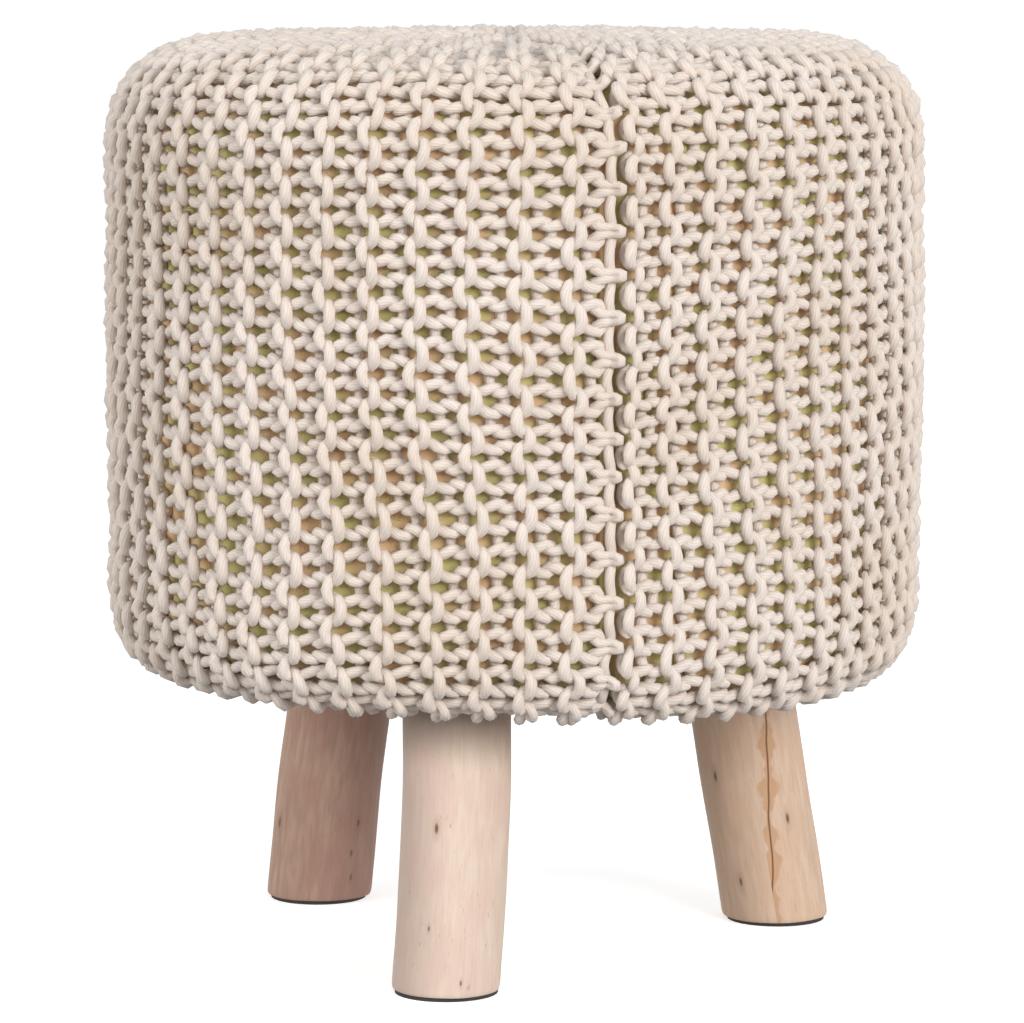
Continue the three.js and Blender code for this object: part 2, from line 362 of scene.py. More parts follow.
# %% Sizes of a stitch
CORD_RADIUS = 2.3
STITCH_PITCH = 16.4
LEG_SWING = 3.1
ARC_REACH = 3.0
DEPTH_MAIN, DEPTH_HOOK, DEPTH_ROUND = 2.75, 1.45, -0.25
KNIT_SINK = DEPTH_MAIN + DEPTH_HOOK + DEPTH_ROUND + CORD_RADIUS
STEPS_PER_STITCH = 15
CORD_SIDES = 8
FIRST_PIT_HEIGHT = 346.0
USUAL_SPAN = math.radians(360 / NODE_COUNT) * SEAT_RADIUS
SEAM_LEAN, SEAM_TOP_LEAN = -0.3, -1.0
LOOP_TIP, LOOP_SINK, LOOP_THINNING = 14.4, 0.6, 0.18
LOOP_POINT, LOOP_HOOK = 2.75, 1.2
LOOPS_FROM_RADIUS = (114.0, 134.0)
TOP_END = 150.0
EDGE_START = 15.2
TUCK_DEPTH, TUCK_LENGTH = 7.0, 9.0

rim_at = float(np.interp(-FIRST_PIT_HEIGHT, -meridian["height"], meridian["along"]))
PITCH_START = rim_at % STITCH_PITCH


def hill(value, middle, width):
    """A smooth hill of height 1: the bell curve exp(-((value - middle) / width)^2)."""
    return np.exp(-(((value - middle) / width) ** 2))


def round_from(azimuth, degrees):
    """Degrees round the drum from a given azimuth, between -180 and 180."""
    return (np.degrees(azimuth) - degrees + 180) % 360 - 180


ROW_SAGS = [
    {"azimuth": -44, "wide": 20, "height": 198, "tall": 55, "drop": 4.8},
    {"azimuth": -9, "wide": 8, "height": 215, "tall": 30, "drop": -1.8},
    {"azimuth": -19, "wide": 9, "height": 330, "tall": 30, "drop": -2.2},
    {"azimuth": 14, "wide": 12, "height": 265, "tall": 40, "drop": 3.8},
    {"azimuth": 24, "wide": 8, "height": 200, "tall": 30, "drop": -2.2},
    {"azimuth": 56, "wide": 24, "height": 320, "tall": 40, "drop": 1.2},
    {"azimuth": 54, "wide": 22, "height": 180, "tall": 30, "drop": 2.5},
    {"azimuth": -58, "wide": 10, "height": 320, "tall": 35, "drop": 1.2},
]
RIDGE_SWAYS = [
    {"azimuth": -14, "wide": 14, "height": 260, "tall": 150, "drift": -1.3},
    {"azimuth": -56, "wide": 13, "height": 190, "tall": 45, "drift": 1.5},
    {"azimuth": -56, "wide": 11, "height": 330, "tall": 45, "drift": -0.7},
    {"azimuth": 32, "wide": 10, "height": 240, "tall": 70, "drift": -1.0},
    {"azimuth": 58, "wide": 12, "height": 220, "tall": 40, "drift": 0.5},
]


def hills(table, name, azimuth, height):
    """The sum of the table's bell-shaped hills, each a number of degrees wide and of millimetres tall."""
    return sum(each[name] * hill(round_from(azimuth, each["azimuth"]), 0, each["wide"])
               * hill(height, each["height"], each["tall"]) for each in table)


def rows_sag(azimuth, height):
    """How far the rows lie below even spacing, in millimetres. They tilt round the drum by its sine, crowd
    together half way down and stretch towards the foot."""
    side = np.sin(azimuth)
    crowd = (0.5 + 4 * side ** 2) * hill(height, 250, 42)
    stretch = (3 - 2.5 * side) * (1 - smooth_step(165, 235, height))
    return 1.4 - 3.6 * side - crowd + stretch + hills(ROW_SAGS, "drop", azimuth, height)


def ridges_lean(azimuth, height):
    """How far the ridges stray sideways, in degrees, over bands of height in millimetres. Left of the
    middle they lean to the right on their way down, and the seam leans to the left at both ends."""
    low = 1 - smooth_step(190, 300, height)
    front = (1.6 * low - 0.1) * hill(round_from(azimuth, -12), 0, 17)
    right = (1.4 * hill(height, 265, 40) - 0.5) * hill(round_from(azimuth, 40), 0, 14)
    seam = SEAM_LEAN * (1 - smooth_step(210, 310, height)) + SEAM_TOP_LEAN * smooth_step(368, 384, height)
    sway = hills(RIDGE_SWAYS, "drift", azimuth, height)
    return front - right + seam * hill(round_from(azimuth, EDGE_RIDGE), 0, 8) + sway


def laid(azimuth, along, out):
    """The same point on the seat after the knitting's own unevenness: drift moves it down its row, shift
    moves it sideways, and both fade out towards the middle of the top."""
    across = azimuth * SEAT_RADIUS
    height = on_meridian(along, "height")
    fade = smooth_step(20, 120, along)
    drift = rows_sag(azimuth, height) + 0.9 * wander(11, across, along, 95)
    drift = drift + 0.6 * wander(12, across, along, 26)
    shift = 1.0 * wander(13, across, along, 120) + 0.55 * wander(14, across, along, 24)
    out = out + 0.5 * wander(15, across, along, 30)
    strayed = azimuth + fade * (np.radians(ridges_lean(azimuth, height)) + shift / SEAT_RADIUS)
    return on_seat(strayed, np.clip(along + fade * drift, 0, MERIDIAN_END), out - KNIT_SINK)


def stitch_cosines(turn):
    """The three directions of one stitch: along its row, across the rows from -1 to 1, and out."""
    swing = LEG_SWING * np.sin(2 * turn)
    rise = -np.cos(turn)
    depth = DEPTH_MAIN * np.cos(turn) + DEPTH_HOOK * np.cos(3 * turn) + DEPTH_ROUND * np.cos(5 * turn)
    return swing, rise, depth


def stitch_range(start_radius):
    """The stitch numbers from a radius on the top down to the hem."""
    start = float(np.interp(start_radius, meridian["radius"][:100], meridian["along"][:100]))
    return (start - PITCH_START) / STITCH_PITCH, (MERIDIAN_END - 2 - PITCH_START) / STITCH_PITCH


def stitch_numbers(start_radius):
    """Evenly spaced stitch numbers of one row, a fixed number of steps for each stitch."""
    first, last = stitch_range(start_radius)
    return np.linspace(first, last, int(round((last - first) * STEPS_PER_STITCH)) + 1)[None]


def garter_rows(rows, start_radius, edge=False):
    """Paths, facings and thickness of whole rows of garter stitch, from a radius on the top to the hem.
    The last row ends at the seam in long pointed loops, whose tips lean by two sines of the turn. The
    edge row is the narrow one along the other side of the seam. Both ends of a row tuck into the seat."""
    number = stitch_numbers(start_radius)
    turn = 2 * np.pi * number
    row = np.asarray(rows)[:, None]
    swing, rise, depth = stitch_cosines(turn)
    head = (1 + rise) / 2
    middle = PITCH_START + STITCH_PITCH * number
    radius = np.maximum(on_meridian(middle, "radius"), 6.0)
    on_side = np.minimum(smooth_step(*LOOPS_FROM_RADIUS, radius) + (middle > TOP_END), 1)
    loops = on_side * (row == SEAM_NODE) * (not edge)
    start, end = node_place(row, radius), node_place(row + 1, radius)
    start = start + edge * (math.radians(EDGE_START + 360) - start)
    end = end + loops * (math.radians(LOOP_TIP + 360) - end)
    narrow = np.clip((end - start) * radius / USUAL_SPAN, 0.45, 1)
    uneven = 1 + 0.15 * wander(16, (start + end) / 2 * SEAT_RADIUS, middle, 22)
    base_reach = ARC_REACH * narrow * uneven * (not edge)
    head_reach = ARC_REACH * narrow * uneven * (1 - loops)
    azimuth = start - base_reach / radius + (end - start + (base_reach + head_reach) / radius) * head
    ends = np.minimum(number - number[0, 0], number[0, -1] - number) * STITCH_PITCH
    tuck = TUCK_DEPTH * (1 - smooth_step(0, TUCK_LENGTH, ends))
    out = np.where(row % 2 == 0, depth, -depth) - LOOP_SINK * loops * head - tuck
    pointed = LOOP_POINT * np.sin(turn) + LOOP_HOOK * np.sin(2 * turn)
    along = middle + swing * np.clip(narrow, 0.6, 1) * (1 - loops) + pointed * loops
    place, facing = laid(azimuth, along, out)
    squash = 1 + 0.03 * np.cos(2 * turn) + 0.07 * np.cos(4 * turn)
    soft = 1 + 0.05 * wander(17, azimuth * SEAT_RADIUS, along, 15)
    tight = 0.86 + 0.14 * smooth_step(0.5, 0.8, narrow)
    tight = tight - LOOP_THINNING * loops * smooth_step(0.1, 0.5, head)
    return place, facing, CORD_RADIUS * squash * soft * tight


# %% [markdown]
# ## Knitting the cover
# The rows are made in groups that start at the same radius on the top. For the mesh they are cut into four
# quarters of the drum, because a piece of some hundred thousand faces is easier to handle than one of half
# a million.

# %% Knit the cover
QUARTERS = 4
ROWS_PER_QUARTER = NODE_COUNT // QUARTERS


def start_group(row):
    """0 for a row that stops first on its way to the middle, 3 for one that reaches it."""
    for level in (3, 2, 1):
        if row % 2 ** (level + 1) in (0, 2 ** (level + 1) - 1):
            return level
    return 0


cover_pieces = []
for quarter in range(QUARTERS):
    rows = range(quarter * ROWS_PER_QUARTER, (quarter + 1) * ROWS_PER_QUARTER)
    families = []
    for group, start_radius in enumerate(COURSE_END_RADIUS):
        chosen = [row for row in rows if start_group(row) == group]
        families.append(cord_family(*garter_rows(chosen, start_radius), CORD_SIDES))
    piece = mesh_object(f"knitting_quarter_{quarter + 1}", *joined(families))
    cover_pieces.append(piece)
    print(piece.name, triangle_count(piece), "triangles")

# %% [markdown]
# ## Lacing, hem and drawstring
# The panel is closed with a lacing cord that runs down the seam behind the pointed loops, with the narrow
# edge row beside it. A drawcord gathers the hem under the seat, and another one closes the middle of the
# top.


# %% Lacing, hem and drawstring
LACING_RADIUS = 2.2
LACING_AZIMUTH = 13.3
LACING_WEAVE = 0.25
LACING_RISE, LACING_SINK = 1.2, 1.9
LACING_START_RADIUS = 100.0
RING_STEPS = 240


def lacing_path():
    """A cord down the seam that weaves a little to either side and sinks under each pointed loop, both by
    the cosine of the stitch."""
    number = stitch_numbers(LACING_START_RADIUS)
    along = PITCH_START + STITCH_PITCH * number
    weave = np.cos(2 * np.pi * number)
    azimuth = np.radians(LACING_AZIMUTH - LACING_WEAVE * weave)
    place, facing = laid(azimuth, along, LACING_RISE * weave - LACING_SINK)
    return place, facing, np.full(number.shape, LACING_RADIUS)


def ring_path(along, out, thickness, seed):
    """A cord once round the seat at one length along the meridian, a little uneven, its ends meeting."""
    azimuth = np.linspace(0, 2 * np.pi, RING_STEPS)[None]
    sway = 0.5 * np.sin(5 * azimuth + seed) + 0.4 * np.sin(9 * azimuth + 2 * seed)
    place, facing = on_seat(azimuth, along + sway, out + 0.3 * np.sin(13 * azimuth) - KNIT_SINK)
    return place, facing, np.full(azimuth.shape, thickness)


edge_row = garter_rows([SEAM_NODE], COURSE_END_RADIUS[0], edge=True)
hem_cord = ring_path(along=MERIDIAN_END - 3, out=-3.0, thickness=2.0, seed=1)
top_cord = ring_path(along=9.0, out=1.5, thickness=2.2, seed=2)
families = [cord_family(*cord, CORD_SIDES) for cord in (edge_row, lacing_path(), hem_cord, top_cord)]
lacing = mesh_object("lacing_and_drawcords", *joined(families))
cover_pieces.append(lacing)
print(lacing.name, triangle_count(lacing), "triangles")

# %% [markdown]
# ## Shader maths
# A small class wraps a socket, so a pattern reads as a formula. Each operator adds one Math node, and any
# other node comes from one method that sets the node's own settings first and its sockets after.


# %% Materials by formula
class Wire:
    """A shader socket that can be added, multiplied and compared."""

    def __init__(self, material, socket):
        self.material = material
        self.socket = socket

    def _math(self, operation, *values):
        """One Math node with its values in order."""
        return self.material.node("ShaderNodeMath", {"operation": operation}, dict(enumerate(values)))

    def __add__(self, other):
        return self._math("ADD", self, other)

    def __radd__(self, other):
        return self._math("ADD", other, self)

    def __sub__(self, other):
        return self._math("SUBTRACT", self, other)

    def __rsub__(self, other):
        return self._math("SUBTRACT", other, self)

    def __mul__(self, other):
        return self._math("MULTIPLY", self, other)

    def __truediv__(self, other):
        return self._math("DIVIDE", self, other)

    def __pow__(self, other):
        return self._math("POWER", self, other)

    def sine(self, ahead=0.0):
        """The sine of the value plus an angle: a quarter turn ahead gives the cosine."""
        return self._math("SINE", self + ahead)

    def size(self):
        """The value without its sign."""
        return self._math("ABSOLUTE", self)

    def between(self, low, high):
        """0 below low and 1 above high, smooth between."""
        settings = {"interpolation_type": "SMOOTHSTEP"}
        sockets = {"Value": self, "From Min": low, "From Max": high}
        return self.material.node("ShaderNodeMapRange", settings, sockets)


class Finish:
    """A tree of shader nodes, a material's or the world's, whose nodes are made by name."""

    def __init__(self, name=None, tree=None):
        if tree is None:
            self.material = bpy.data.materials.new(name)
            self.material.use_nodes = True
            tree = self.material.node_tree
            self.shader = tree.nodes["Principled BSDF"]
        self.tree = tree

    def plug(self, socket, value):
        """Links a wire to a socket, or sets the socket to a number, a vector or a colour."""
        if isinstance(value, Wire):
            self.tree.links.new(value.socket, socket)
        elif isinstance(value, (tuple, list)) and len(value) == 3 and socket.type == "RGBA":
            socket.default_value = (*value, 1)
        else:
            socket.default_value = value

    def node(self, kind, settings=None, sockets=None, output=0):
        """A node of this kind, with its settings first and its sockets after."""
        made = self.tree.nodes.new(kind)
        for name, value in (settings or {}).items():
            setattr(made, name, value)
        for name, value in (sockets or {}).items():
            self.plug(made.inputs[name], value)
        return Wire(self, made.outputs[output])

    def uv(self, axis):
        """One axis of the piece's own UV map: 0 for x, 1 for y."""
        coordinates = self.node("ShaderNodeUVMap", {"uv_map": "surface"})
        return self.node("ShaderNodeSeparateXYZ", {}, {"Vector": coordinates}, axis)

    def place(self, scale=(1, 1, 1)):
        """The Object coordinates, stretched by a scale."""
        coordinates = self.node("ShaderNodeTexCoord", output=3)
        return self.node("ShaderNodeMapping", {}, {"Vector": coordinates, "Scale": scale})

    def noise(self, vector, scale, detail=2.0, roughness=0.5):
        """Plain noise from 0 to 1."""
        sockets = {"Vector": vector, "Scale": scale, "Detail": detail, "Roughness": roughness}
        return self.node("ShaderNodeTexNoise", {}, sockets)

    def vector(self, x, y, z=0.0):
        """Three values as one vector."""
        return self.node("ShaderNodeCombineXYZ", {}, {"X": x, "Y": y, "Z": z})

    def mix(self, factor, first, second):
        """A colour between two colours."""
        made = self.tree.nodes.new("ShaderNodeMix")
        made.data_type = "RGBA"
        for number, value in ((0, factor), (6, first), (7, second)):
            self.plug(made.inputs[number], value)
        return Wire(self, made.outputs[2])

    def bump(self, height, strength, distance):
        """A normal tilted by the slope of a height."""
        sockets = {"Height": height, "Strength": strength, "Distance": distance}
        return self.node("ShaderNodeBump", {}, sockets)

    def finish(self, **sockets):
        """Plugs the shader's own sockets, named with underscores for spaces."""
        for name, value in sockets.items():
            self.plug(self.shader.inputs[name.replace("_", " ")], value)
        return self.material


# %% [markdown]
# ## Cotton cord
# The cord is a bundle of soft cotton yarns with a slow twist, so fine grooves run along it at a slight
# slant. The UV map holds the share round the cord and the length along it, and a sine of both gives the
# slanted grooves. Loose fibres make it matt and soft, which the sheen of the shader imitates. Slow noise
# makes some stretches of cord a little warmer than others.

# %% Cotton cord
YARNS_ROUND = 11
TWIST_LENGTH = 46.0
CORD_GIRTH = 2 * math.pi * CORD_RADIUS
COTTON_WARM, COTTON_PALE = (0.73, 0.625, 0.54), (0.78, 0.685, 0.62)
COTTON_GROOVE_SHADE_AND_FIBRE = (0.50, 0.40, 0.30)


def cotton_finish():
    """Cream cotton: slanted yarn grooves with painted shade in them, fibres along the cord and slow changes
    of tone.
    """
    cotton = Finish("cotton_cord")
    around, length = cotton.uv(0), cotton.uv(1)
    tone = cotton.noise(cotton.place(), 14.0, 3.0)
    wobble = cotton.noise(cotton.vector(around * 3.0, length / 9.0), 1.0) - 0.5
    turns = around * YARNS_ROUND + length / TWIST_LENGTH * YARNS_ROUND + wobble
    groove = (turns * math.pi).sine().size()
    fibre = cotton.noise(cotton.vector(around * CORD_GIRTH * 3.2, length * 0.5), 1.0, 3.0, 0.7)
    fuzz = cotton.noise(cotton.place(), 1800.0, 2.0)
    yarn = cotton.mix(tone.between(0.3, 0.7), COTTON_WARM, COTTON_PALE)
    # Painted shade in the yarn grooves, plus a darker tone along some fibres.
    colour = cotton.mix((1 - groove) ** 2.0 * 0.35 + fibre * 0.12, yarn, COTTON_GROOVE_SHADE_AND_FIBRE)
    relief = cotton.bump(groove ** 0.6 + fibre * 0.7 + fuzz * 0.35, 0.45, 0.35 * MM)
    return cotton.finish(Base_Color=colour, Roughness=0.92, Normal=relief, Sheen_Weight=0.35,
                         Sheen_Roughness=0.5, Specular_IOR_Level=0.2)


cotton_cord = cotton_finish()
for piece in cover_pieces:
    piece.data.materials.append(cotton_cord)
    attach(piece, "root")
    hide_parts("knitted_cover")

# %% [markdown]
# ## The filled casing
# Between the stitches a plain cloth casing shows, olive and tan in the shade of the cord. It follows the
# seat's form a cord's depth inside, with a few low lumps of the filling. Behind the seam it sinks into a
# narrow valley, so that the gap between the two edges stays dark.


# %% Filled casing
def grid_faces(rows, columns):
    """Four-sided faces of a grid of points whose columns close on themselves."""
    here = np.arange(rows * columns).reshape(rows, columns)
    onward = np.roll(here, -1, 1)
    return np.stack([here[:-1], here[1:], onward[1:], onward[:-1]], axis=-1).reshape(-1, 4)


CASING_SINK = 11.4
CASING_RINGS = 150
VALLEY_DEPTH = 9.0
VALLEY_WIDTH = 1.1
VALLEY_START = (196.0, 226.0)
VALLEY_EDGES = (9.0, 16.0)
CASING_OLIVE, CASING_TAN = (0.61, 0.54, 0.23), (0.75, 0.51, 0.29)


def casing_surface():
    """The seat's form a cord's depth inside, closed in the middle of the top and under the seat. Behind the
    seam it sinks into a narrow valley, a bell curve round the drum, with more columns of faces there."""
    along = np.linspace(3, MERIDIAN_END, CASING_RINGS)
    valley_first, valley_last = VALLEY_EDGES
    seam_degrees = np.linspace(valley_first, valley_last, 36)
    other_degrees = np.linspace(valley_last, valley_first + 360, 331)[1:-1]
    azimuth = np.radians(np.concatenate([seam_degrees, other_degrees]))
    along_grid, azimuth_grid = np.meshgrid(along, azimuth, indexing="ij")
    lump = 0.5 * np.sin(7 * azimuth_grid + along_grid / 17) * np.sin(11 * azimuth_grid - along_grid / 23)
    height = on_meridian(along_grid, "height")
    lacing = math.radians(LACING_AZIMUTH)
    seam = lacing + np.radians(ridges_lean(lacing, height))
    valley = hill(round_from(azimuth_grid - seam, 0), 0, VALLEY_WIDTH)
    valley = valley * smooth_step(*VALLEY_START, along_grid)
    place, _ = on_seat(azimuth_grid, along_grid, lump - CASING_SINK - VALLEY_DEPTH * valley)
    points = place.reshape(-1, 3)
    top = [0, 0, place[0, :, 2].mean()]
    bottom = [0, 0, place[-1, :, 2].mean()]
    rows, columns = along_grid.shape
    walls = grid_faces(rows, columns)
    first, last = np.arange(columns), np.arange(columns) + (rows - 1) * columns
    tips = np.full(columns, len(points))
    fans = np.concatenate([np.stack([np.roll(first, -1), tips, first], -1),
                           np.stack([last, tips + 1, np.roll(last, -1)], -1)])
    uv = np.stack([azimuth_grid * SEAT_RADIUS, along_grid], axis=-1).reshape(-1, 2)
    return np.concatenate([points, [top, bottom]]), walls, fans, uv[walls.ravel()]


def casing_finish():
    """Plain weave cloth: two sets of fine threads as bump, and a slow change from olive to tan."""
    cloth = Finish("casing_cloth")
    across, along = cloth.uv(0), cloth.uv(1)
    thread = (across * 5.0).sine() * (along * 5.0).sine()
    patch = cloth.noise(cloth.place(), 55.0, 2.0).between(0.42, 0.58)
    colour = cloth.mix(patch, CASING_OLIVE, CASING_TAN)
    return cloth.finish(Base_Color=colour, Roughness=1.0, Normal=cloth.bump(thread, 0.4, 0.2 * MM))


casing = mesh_object("filled_casing_cloth", *casing_surface())
casing.data.materials.append(casing_finish())
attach(casing, "root")
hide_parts("filled_casing")
print(casing.name, triangle_count(casing), "triangles")

# %% [markdown]
# ## Branch legs
# Each leg is a length of branch, peeled, dried and sawn level at both ends. No branch is a true cylinder:
# it is slightly oval and bowed, swells a little at its knots, and its saw cut has a broken edge. The
# surface is one function of the way round and the way up. Its UV map holds both in millimetres. Each knot
# has a way round in degrees, a height and a size.

# %% Leg surface
FOOT_CIRCLE_RADIUS = 122.0
LEG_LEAN = math.radians(9.3)
LEG_OVAL = 0.4
LEG_BOW = 1.0
LEG_SIDES = 96
LEG_RINGS = 90
CUT_ROUND, CUT_REACH = 0.5, 0.8
KNOT_SWELL, KNOT_SIZE = 0.35, 5.0
LEGS = {
    "front": {"azimuth": -13.3, "diameter": 46.0, "painted_shade_side": -75,
              "knots": [(-18, 71, 1.0), (-22, 30, 0.5), (14, 8, 0.5), (130, 60, 1.2), (200, 25, 0.9)]},
    "right": {"azimuth": 106.7, "diameter": 46.8, "painted_shade_side": -70,
              "knots": [(-45, 67, 1.1), (31, 48.6, 1.1), (-33, 20, 0.9), (120, 80, 1.2), (190, 40, 1.0)]},
    "left": {"azimuth": 226.7, "diameter": 46.8, "painted_shade_side": 75,
             "knots": [(-60, 37, 1.2), (38, 38, 0.8), (33, 24, 0.7), (36, 12.5, 0.7), (150, 70, 1.3)]},
}


def knot_hills(turn, height, knots, radius):
    """The sum of a bell-shaped hill on every knot, each taller than it is wide."""
    total = 0.0
    for degrees, level, scale in knots:
        away = (turn - math.radians(degrees) + np.pi) % (2 * np.pi) - np.pi
        total = total + scale * hill(away * radius, 0, KNOT_SIZE) * hill(height, level, 1.6 * KNOT_SIZE)
    return total


def leg_surface(leg, low, high):
    """Rings of a slightly oval, bowed branch between two heights: the radius is half the diameter, plus an
    oval cosine, low waves, the knots' hills and a small round at both saw cuts. The UV map has one column
    more than the points, at the full way round, so it never runs back."""
    azimuth, radius = math.radians(leg["azimuth"]), leg["diameter"] / 2
    share = (1 - np.cos(np.linspace(0, np.pi, LEG_RINGS))) / 2
    turn = np.linspace(0, 2 * np.pi, LEG_SIDES, endpoint=False)
    share, turn = np.meshgrid(share, turn, indexing="ij")
    height = low + (high - low) * share
    cut = CUT_ROUND * (np.exp(-(height - low) / CUT_REACH) + np.exp(-(high - height) / CUT_REACH))
    wave = 0.25 * np.sin(3 * turn + height / 23 + azimuth) + 0.12 * np.sin(7 * turn - height / 9)
    reach = radius + LEG_OVAL * np.cos(2 * turn + azimuth + share) + wave - cut
    reach = reach + KNOT_SWELL * knot_hills(turn, height, leg["knots"], radius)
    axis_radius = FOOT_CIRCLE_RADIUS - height * math.tan(LEG_LEAN)
    bow = LEG_BOW * np.sin(np.pi * share)
    x = math.sin(azimuth) * axis_radius + reach * np.sin(turn) + bow * math.cos(azimuth)
    y = -math.cos(azimuth) * axis_radius - reach * np.cos(turn) + bow * math.sin(azimuth)
    points = np.stack([x, y, height], axis=-1).reshape(-1, 3)
    ends = [points[:LEG_SIDES].mean(0), points[-LEG_SIDES:].mean(0)]
    number = np.arange(len(points))
    walls = grid_faces(LEG_RINGS, LEG_SIDES)[:, ::-1]
    first, last = number[:LEG_SIDES], number[-LEG_SIDES:]
    tips = np.full(LEG_SIDES, len(points))
    fans = np.concatenate([np.stack([np.roll(first, -1), first, tips], -1),
                           np.stack([last, np.roll(last, -1), tips + 1], -1)])
    around = np.broadcast_to(np.append(turn[0], 2 * np.pi) * radius, (LEG_RINGS, LEG_SIDES + 1))
    up = np.broadcast_to(height[:, :1], around.shape)
    corners = np.stack([around, up], axis=-1)
    uv = np.stack([corners[:-1, 1:], corners[1:, 1:], corners[1:, :-1], corners[:-1, :-1]], axis=2)
    return np.concatenate([points, ends]), walls, fans, uv.reshape(-1, 2)


# %% [markdown]
# ## Peeled branch
# Under the bark the wood is pale, with fine fibres along the branch, slow pinkish and yellow patches, dark
# flecks and small knots. One leg has dried with a long crack, and resin has stained it orange. The pattern
# is worked out from the UV map, bent into a circle, so it closes round the leg without a seam. Each branch
# also has painted shade: it is browner along the side that the photograph shows in shade, and darker just
# under the seat, because soft studio light alone leaves both too bright.

# %% Branch wood
CRACK_START = -4.0
CRACK_TURN_PER_MM = 0.28
FLECK_COLOUR, KNOT_COLOUR = (0.20, 0.12, 0.07), (0.17, 0.09, 0.05)
STAIN_COLOUR, SPLIT_COLOUR = (0.50, 0.27, 0.13), (0.16, 0.06, 0.025)
PAINTED_SHADE_UNDER_SEAT = (92.0, 114.0)


def darker(colour, share):
    """A colour with each of its parts times a share."""
    return tuple(share * part for part in colour)


def branch_finish(name, leg, pale, deep, patch_colour, cracked=False):
    """Pale wood with fibres, patches, flecks and knots, with painted shade that makes one side browner and
    the top darker, and on one leg a crack with a resin stain. A knot is a stretched spot, dark inside and
    fading outside."""
    wood = Finish(name)
    radius = leg["diameter"] / 2
    around, up = wood.uv(0), wood.uv(1)
    angle = around / radius
    ring_x, ring_y = angle.sine() * radius, angle.sine(math.pi / 2) * radius
    fibre = wood.noise(wood.vector(ring_x, ring_y, up * 0.05), 1.6, 4.0, 0.65)
    grain = wood.noise(wood.vector(ring_x, ring_y, up * 0.16), 0.35, 3.0, 0.6)
    patch = wood.noise(wood.vector(ring_x, ring_y, up * 0.7), 0.055, 2.0)
    fleck = wood.noise(wood.vector(ring_x, ring_y, up * 0.22), 1.1, 1.0).between(0.70, 0.78)
    colour = wood.mix(grain.between(0.3, 0.7), pale, deep)
    colour = wood.mix(patch.between(0.45, 0.65) * 0.6, colour, patch_colour)
    colour = wood.mix(fibre.between(0.45, 0.75) * 0.28, colour, darker(deep, 0.62))
    colour = wood.mix(fleck * 0.35, colour, FLECK_COLOUR)
    # Painted shade: the colour turns browner towards each leg's shaded side.
    painted_side_shade_mask = (angle - math.radians(leg["painted_shade_side"])).sine(math.pi / 2)
    colour = wood.mix(painted_side_shade_mask.between(0.2, 1.0) * 0.5, colour, darker(patch_colour, 0.6))
    # Painted shade: the wood darkens towards its top, where the seat shades it.
    colour = wood.mix(up.between(*PAINTED_SHADE_UNDER_SEAT) * 0.5, colour, darker(deep, 0.3))
    dark = 0.0
    for degrees, level, scale in leg["knots"]:
        place = math.radians(degrees % 360) * radius
        wide = wood.vector((around - place) / (1.1 * scale), (up - level) / (3.0 * scale))
        near = wood.node("ShaderNodeVectorMath", {"operation": "LENGTH"}, {0: wide}, 1)
        dark = dark + (1 - near.between(0.25, 1.0)) * 0.85 + (1 - near.between(0.6, 2.6)) * 0.22
    colour = wood.mix(dark, colour, KNOT_COLOUR)
    relief = fibre * 0.5 - dark * 0.8
    if cracked:
        waver = wood.noise(wood.vector(up * 0.05, 3.0), 1.0, 1.0) - 0.5
        slant = math.radians(CRACK_TURN_PER_MM) * radius
        line = math.radians(CRACK_START) * radius + up * slant + waver * 3.0
        away = (around - line).size()
        stain_width = wood.noise(wood.vector(up * 0.09, 7.0), 1.0, 2.0).between(0.3, 0.75) * 6.5 + 0.7
        stain = (1 - (away / stain_width).between(0.55, 1.0)) * 0.7
        colour = wood.mix(stain, colour, STAIN_COLOUR)
        split = 1 - away.between(0.1, 0.6)
        colour = wood.mix(split * 0.9, colour, SPLIT_COLOUR)
        relief = relief - split * 3.0
    return wood.finish(Base_Color=colour, Roughness=0.62, Specular_IOR_Level=0.3,
                       Normal=wood.bump(relief, 0.5, 0.3 * MM))


LEG_TONES = {
    "front": {"pale": (0.69, 0.55, 0.45), "deep": (0.64, 0.49, 0.38), "patch_colour": (0.65, 0.46, 0.385)},
    "right": {"pale": (0.66, 0.48, 0.355), "deep": (0.57, 0.39, 0.28), "patch_colour": (0.62, 0.42, 0.29)},
    # The left leg is darker: partly its own browner wood, partly painted shade of the seat over it.
    "left": {"pale": (0.48, 0.31, 0.23), "deep": (0.38, 0.235, 0.17), "patch_colour": (0.40, 0.22, 0.17)},
}
for side, leg in LEGS.items():
    leg_low, leg_high = box_mm(f"leg_{side}")
    branch = mesh_object(f"branch_{side}", *leg_surface(leg, leg_low[2], leg_high[2]))
    finish = branch_finish(f"branch_wood_{side}", leg, cracked=side == "right", **LEG_TONES[side])
    branch.data.materials.append(finish)
    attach(branch, "root")
    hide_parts(f"leg_{side}")
    print(branch.name, triangle_count(branch), "triangles")

# %% [markdown]
# ## Felt glides and base board
# A thin dark felt disc under each foot keeps the wood off the floor, and a round board inside the seat
# carries the legs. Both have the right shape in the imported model, so they only get their finish.


# %% Felt and board
def felt_finish():
    """Dark pressed wool: matt, with a fine fibre grain."""
    felt = Finish("glide_felt")
    fibre = felt.noise(felt.place(), 1500.0, 3.0, 0.7)
    colour = felt.mix(fibre, (0.018, 0.016, 0.015), (0.06, 0.055, 0.05))
    return felt.finish(Base_Color=colour, Roughness=1.0, Normal=felt.bump(fibre, 0.6, 0.3 * MM))


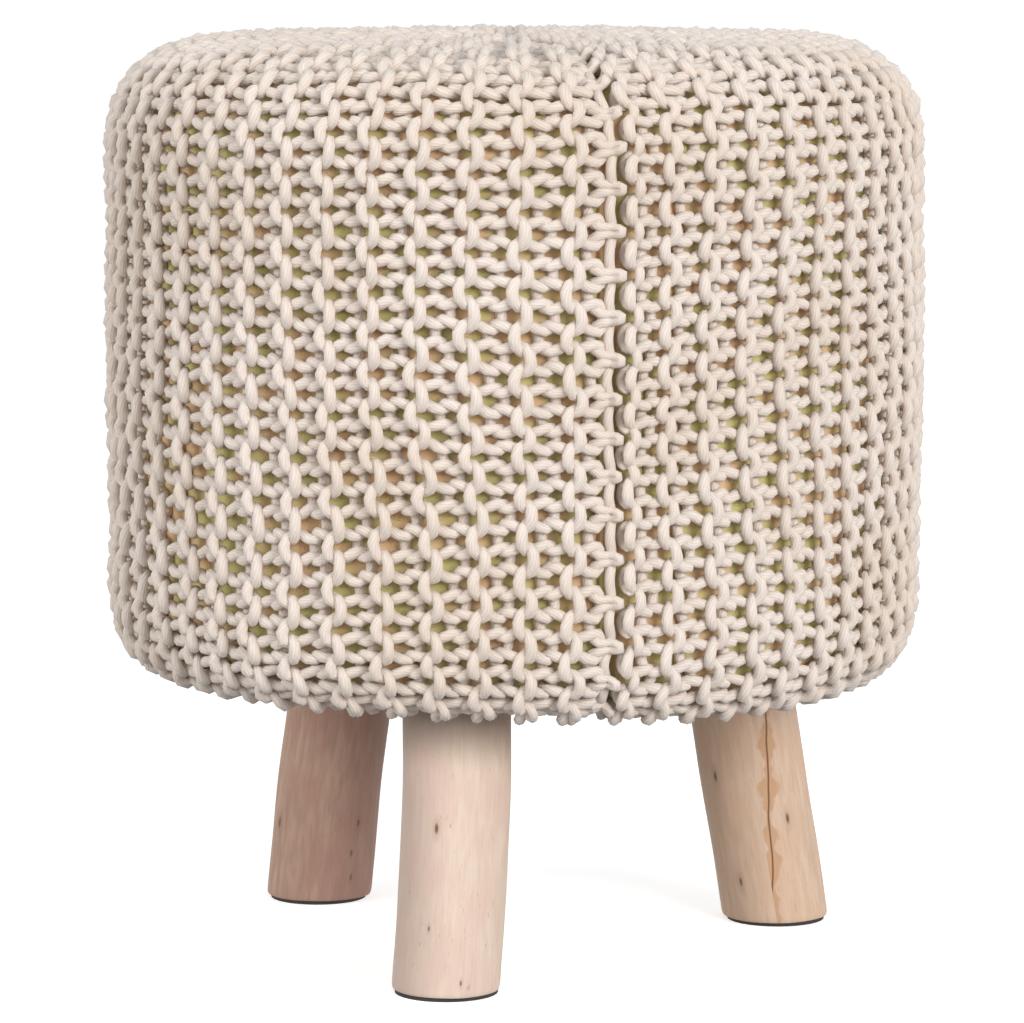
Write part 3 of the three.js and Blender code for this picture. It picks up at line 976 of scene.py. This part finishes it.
def board_finish():
    """Plain softwood board: grain stretched along X, with darker year rings."""
    board = Finish("board_wood")
    ring = board.noise(board.place((1.5, 22.0, 22.0)), 3.0, 3.0)
    fibre = board.noise(board.place((20.0, 400.0, 400.0)), 1.0, 3.0, 0.7)
    grain = ring.between(0.35, 0.65) * 0.7 + fibre * 0.3
    colour = board.mix(grain, (0.72, 0.55, 0.36), (0.52, 0.34, 0.19))
    return board.finish(Base_Color=colour, Roughness=0.7, Normal=board.bump(fibre, 0.3, 0.2 * MM))


for names, finish in ((("glide_front", "glide_right", "glide_left"), felt_finish()),
                      (("base_board",), board_finish())):
    for name in names:
        slots = bpy.data.objects[name].data.materials
        slots.clear()
        slots.append(finish)

# %% [markdown]
# ## Floor and light
# The stool stands on a bright white sweep. A large soft light comes from the front, to the right and a
# little above, and a weaker one from the left fills the shade. The air around is white near the horizon,
# where the sweep would be, dim below it, and dimmer and a little bluer overhead. The floor glows by itself
# and sends no bounced light up, so that the ends of the legs under the seat stay dark, as in the
# photograph.

# %% Floor and light
FLOOR_SIDE, FLOOR_NEAR, FLOOR_FAR = 6e4, -3e4, 9e4
FLOOR_WHITE, FLOOR_GLOW = (0.8, 0.8, 0.8), 0.6
KEY_POWER, FILL_POWER, LIGHT_SIZE = 76, 35, 1.5
AIR_BELOW, AIR_HORIZON, AIR_OVERHEAD = 0.28, 1.05, 0.41
OVERHEAD_COLOUR = (0.82, 0.92, 1)

floor_points = np.array([[-FLOOR_SIDE, FLOOR_NEAR, 0], [FLOOR_SIDE, FLOOR_NEAR, 0],
                         [FLOOR_SIDE, FLOOR_FAR, 0], [-FLOOR_SIDE, FLOOR_FAR, 0]])
floor = mesh_object("studio_floor", floor_points, np.array([[0, 1, 2, 3]]))
paper = Finish("floor_paper")
floor.data.materials.append(paper.finish(Base_Color=FLOOR_WHITE, Roughness=1.0, Specular_IOR_Level=0.0,
                                         Emission_Color=(1, 1, 1), Emission_Strength=FLOOR_GLOW))
floor.visible_diffuse = False


def soft_light(name, place, target, power):
    """A large square area light that looks at a target."""
    data = bpy.data.lights.new(name, "AREA")
    data.size = LIGHT_SIZE
    data.energy = power
    light = bpy.data.objects.new(name, data)
    light.location = place
    light.rotation_euler = (Vector(target) - Vector(place)).to_track_quat("-Z", "Y").to_euler()
    bpy.context.scene.collection.objects.link(light)


SEAT_MIDDLE = (0, 0, 0.25)
KEY_PLACE, FILL_PLACE = (1.7, -2.6, 1.15), (-2.4, -1.4, 1.0)
soft_light("key_light", KEY_PLACE, SEAT_MIDDLE, KEY_POWER)
soft_light("fill_light", FILL_PLACE, SEAT_MIDDLE, FILL_POWER)

world = bpy.data.worlds.new("studio_air")
world.use_nodes = True
bpy.context.scene.world = world
air = Finish(tree=world.node_tree)
direction = air.node("ShaderNodeTexCoord", output=0)
upward = air.node("ShaderNodeSeparateXYZ", {}, {"Vector": direction}, 2)
background = world.node_tree.nodes["Background"]
strength = AIR_BELOW + upward.between(-0.1, 0.1) * (AIR_HORIZON - AIR_BELOW)
strength = strength - upward.between(0.3, 0.7) * (AIR_HORIZON - AIR_OVERHEAD)
air.plug(background.inputs["Strength"], strength)
air.plug(background.inputs["Color"], air.mix(upward.between(0.2, 0.8), (1, 1, 1), OVERHEAD_COLOUR))
bpy.context.scene.view_settings.view_transform = "Standard"
